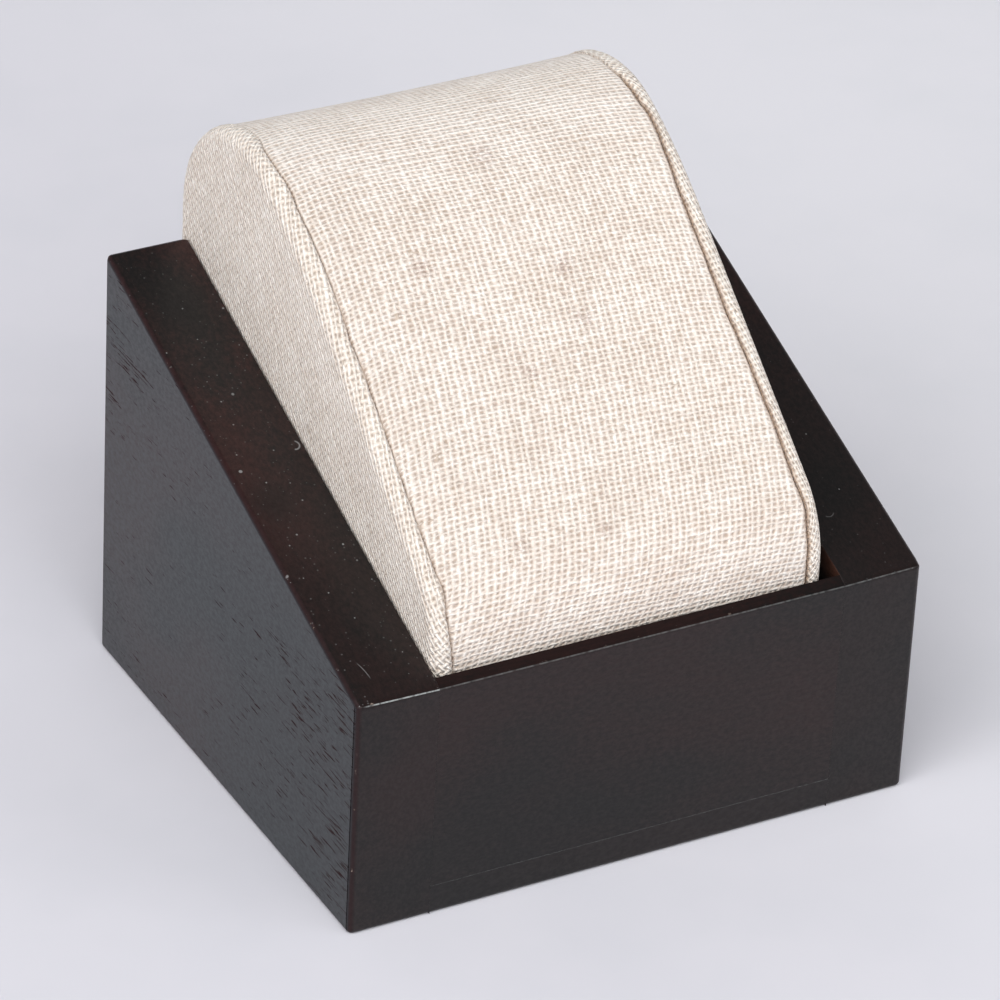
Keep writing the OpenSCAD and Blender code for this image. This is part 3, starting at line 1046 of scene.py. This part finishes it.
def wrap(radius_left, radius_right, depth, x_left, x_right, closed):
    """A ring of cloth, or a closed core, from x_left to x_right at a depth below the crest of the ends."""
    bm, path, at = start_cloth(x_left, NOSE_POINT)

    def shape(vert, column):
        x, down, lie = column
        run = vert[at.cloth].z
        from_left, from_right = x - x_left, x_right - x
        near_left, near_right = max(0.0, 1 - from_left / 9), max(0.0, 1 - from_right / 9)
        deep = seam_depth(run)
        slack = sag(x, run) if vert[at.home].z > 12 else 0
        vert.co = vert[at.home] - vert[at.outward] * (depth + down * deep + slack)
        vert.co.x = x + seam_sway(run, -1) * near_left**2 + seam_sway(run, 1) * near_right**2
        vert[at.cloth] = Vector((lie, run, run))
        vert[at.groove] = min(1.0, down / 0.5) * deep
        # Painted shade: at the crown and the nose the first yarn is painted darker and the weave leans to the cross
        # threads.
        crown, nose = between(run, [(50, 0), (64, 1)]), between(run, [(-9, 1), (4, 0)])
        vert[at.cross] = max(crown, 0.45 * nose)
        at_seam = max(between(from_right, [(0.3, 1), (2.2, 0)]), between(from_left, [(0.2, 0.6), (0.9, 0)]))
        vert[at.pulled] = max(0.6 * crown, at_seam)

    count = 30
    x_first, x_last = x_left + radius_left, x_right - radius_right
    flat = (x_last - x_first) / count
    lie_first = x_first - radius_left * math.pi / 2
    columns = [(x, d, lie_first + lie) for x, d, lie in quarter(x_left, 1, radius_left, 6, True)]
    columns += [(x_first + flat * k, 0, x_first + flat * k) for k in range(1, count + 1)]
    columns += [(x, d, x_last + lie) for x, d, lie in quarter(x_last, 1, radius_right, 6, False)[1:]]
    first, last = sweep(bm, path, columns, shape)
    if closed:
        bmesh.ops.contextual_create(bm, geom=first)
        bmesh.ops.contextual_create(bm, geom=last)
    bmesh.ops.recalc_face_normals(bm, faces=bm.faces[:])
    return bm, at.cloth


def finish_cloth(bm, name, material, thickness=None, outer=None):
    """Scale the mesh to metres, smooth it and give the cloth its thickness.

    outer returns a face of the cloth and the way that it has to look, for a mesh that is open.
    """
    if outer is not None:
        face = outer(bm)
        if face[0].normal.dot(face[1]) < 0:
            bmesh.ops.reverse_faces(bm, faces=bm.faces[:])
    bmesh.ops.scale(bm, vec=(MM, MM, MM), verts=bm.verts)
    for face in bm.faces:
        face.smooth = True
    mesh = bpy.data.meshes.new(name)
    bm.to_mesh(mesh)
    bm.free()
    mesh.materials.append(material)
    piece = bpy.data.objects.new(name, mesh)
    scene.collection.objects.link(piece)
    if thickness:
        cloth = piece.modifiers.new("cloth", "SOLIDIFY")
        cloth.thickness, cloth.offset = thickness * MM, -1
    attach(piece, "root")
    return piece


def highest(bm):
    """The highest face, which looks up."""
    face = max(bm.faces, key=lambda f: f.calc_center_median().z)
    return face, Vector((0, 0, 1))


bm, cloth = wrap(0.75, 1.1, STRIP_DEPTH, STRIP_LEFT, STRIP_RIGHT, False)
write_threads(bm, cloth, strip_threads, around)
strip_area = sum(face.calc_area() for face in bm.faces)
strip = finish_cloth(bm, "linen_wrap", strip_linen, LINEN_T, highest)
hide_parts("wrap_strip")

# %% [markdown]
# ## Pad: the raised ends
#
# Each end is a stiff board with linen pulled over its face and its rounded rim and turned in
# as a hem behind it. The cover starts as the flat face of the end. Its rim is extruded in
# small steps round the edge of the board, and the hem is bridged to a smaller outline.


# %% Cover the two ends
# Radii of the rim towards the outside and towards the seam, and the width of the turned-in hem.
OUTER_R, INNER_R, HEM_WIDTH = 2.0, 0.65, 9.0
# The rim in sight is this much fuller, and uneven by this much either way.
FULLER, UNEVEN = 0.05, 0.08


def largest(bm):
    return max(bm.faces, key=lambda face: face.calc_area())


def end_cover(name, x_face, way, replaced):
    """The linen of one end. Its face is at x_face and the rest of it lies the given way along the width."""
    bm, path, at = start_cloth(x_face, NOSE_POINT)

    def shape(vert, column):
        x, down, lie, seamward = column
        run = vert[at.cloth].z
        deep = seam_depth(run)
        in_sight = 20 < vert[at.home].z < 89
        bump = FULLER + UNEVEN * noise.noise(Vector((run / 1.1, lie / 1.1, way * 5))) if in_sight else 0
        vert.co = vert[at.home] - vert[at.outward] * (down * (deep if seamward else 1) + 0.2 * (1 - deep) - bump)
        vert.co.x = x + seam_sway(run, -way) * (abs(x - x_face) / END_T) ** 1.5
        flat = vert[at.home] + vert[at.outward] * (lie - OUTER_R)
        vert[at.cloth] = Vector((flat.y, flat.z, run))
        vert[at.groove] = seamward * (down / INNER_R) * deep
        rolled = between(lie, [(0, 0), (OUTER_R, 1)])
        # Painted shade: the first yarn is painted darker on the flat end face, and less so round the rim.
        vert[at.cross] = 1 - rolled * (0.55 if way > 0 else 1)
        vert[at.pulled] = 0.25 * rolled

    x_back = x_face + way * END_T
    arc, crest = OUTER_R * math.pi / 2, END_T - OUTER_R - INNER_R
    rim = [(x, d, lie, 0) for x, d, lie in quarter(x_face, way, OUTER_R, 8, True)]
    rim.append((rim[-1][0] + way * crest, 0, arc + crest, 1))
    rim += [(x, d, arc + crest + lie, 1) for x, d, lie in quarter(x_back - way * INNER_R, way, INNER_R, 6, False)[1:]]
    first, last = sweep(bm, path, rim, shape)
    bmesh.ops.contextual_create(bm, geom=first)
    hem = outline_points(x_back, HEM_WIDTH)

    def turn_in(vert, column):
        vert.co = hem[vert[at.number]]
        vert[at.cloth] = Vector((vert.co.y, vert.co.z, 0))
        vert[at.groove] = 1.0

    carry_across(bm, last, [None], turn_in)
    bmesh.ops.remove_doubles(bm, verts=bm.verts[:], dist=0.002)
    bmesh.ops.recalc_face_normals(bm, faces=bm.faces[:])
    write_threads(bm, at.cloth, end_threads)
    area = sum(face.calc_area() for face in bm.faces)
    piece = finish_cloth(bm, name, end_linen, LINEN_T, lambda bm: (largest(bm), Vector((-way, 0, 0))))
    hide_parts(replaced)
    print(f"{name}: {area / 100:.1f} square centimetres")
    return piece


end_cover("left_end_linen", PAD_LEFT, 1, "left_end_cover")
end_cover("right_end_linen", PAD_RIGHT, -1, "right_end_cover")

# %% [markdown]
# ## Pad: what is inside
#
# The core is a firm foam block under the strip, eased at its two sides so that the linen can
# turn over it. Each end board lies between the face of its linen and the hem. Its rim is pared
# to the roll of the linen and to the wander of the seam, so that no part cuts into another. All
# three are hidden here and still get a finish, for anyone who takes the pad apart.

# %% Fill the pad
foam, shader = new_material("foam")
cells = new_node("TexVoronoi")
cells.inputs["Scale"].default_value = 1600
feed(cells.inputs["Vector"], own_place())
bubbles = ramp(cells.outputs["Distance"], [(0.1, (0.62, 0.60, 0.52, 1)), (0.6, (0.84, 0.82, 0.74, 1))])
set_shader(
    shader, Base_Color=bubbles, Roughness=0.95, Normal=raised(cells.outputs["Distance"], 0.0003))

hardboard, shader = new_material("hardboard")
fibre = clouds(stretched(own_place(), (900, 300, 300)), 1, 4, 0.7)
browns = ramp(fibre, [(0.3, (0.20, 0.12, 0.07, 1)), (0.7, (0.40, 0.27, 0.16, 1))])
set_shader(shader, Base_Color=browns, Roughness=0.8, Normal=raised(fibre, 0.0001))

INSIDE = LINEN_T + 0.02
bm, cloth = wrap(0.4, 0.8, STRIP_DEPTH + INSIDE, STRIP_LEFT + INSIDE, STRIP_RIGHT - INSIDE, True)
core = finish_cloth(bm, "foam_block", foam)
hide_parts("pad_core")
print("core", [round(v / MM, 1) for v in core.dimensions])

# How far the rim of a board lies inside the crest of the linen, its glue line, and its own small rounding.
BOARD_INSET, BOARD_GAP, BOARD_R = 1.95, 0.06, 0.3


def end_board(name, x_face, way, replaced):
    """The stiff board in one end. Its face looks towards x_face and its rim is pared at the back."""
    bm, path, at = start_cloth(x_face, NOSE_POINT)
    x_front, x_back = x_face + way * (LINEN_T + BOARD_GAP), x_face + way * (END_T - LINEN_T - BOARD_GAP)
    flat = outline_points(x_back, HEM_WIDTH)

    def shape(vert, column):
        x, down, pared = column
        vert.co = vert[at.home] - vert[at.outward] * (BOARD_INSET + down)
        vert.co.x = x + pared * seam_sway(vert[at.cloth].z, -way)

    def flatten(vert, column):
        vert.co = flat[vert[at.number]]

    columns = [(x, down, 0) for x, down, _ in quarter(x_front, way, BOARD_R, 3, True)]
    columns += [(x, down, 0.86) for x, down, _ in quarter(x_back - way * BOARD_R, way, BOARD_R, 3, False)]
    first, last = sweep(bm, path, columns, shape)
    last = carry_across(bm, last, [None], flatten)
    bmesh.ops.contextual_create(bm, geom=first)
    bmesh.ops.contextual_create(bm, geom=last)
    bmesh.ops.recalc_face_normals(bm, faces=bm.faces[:])
    piece = finish_cloth(bm, name, hardboard)
    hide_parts(replaced)
    print(name, [round(v / MM, 1) for v in piece.dimensions])


end_board("left_stiff_board", PAD_LEFT, 1, "left_end_board")
end_board("right_stiff_board", PAD_RIGHT, -1, "right_end_board")

# %% [markdown]
# ## The size
#
# The finish must not make the object larger than its solids, apart from a little for cloth.
# The box of what is shown is printed here.

# %% Print the box of what is shown
low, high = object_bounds()
print("visual", [round(v / MM, 2) for v in (*low, *high)])
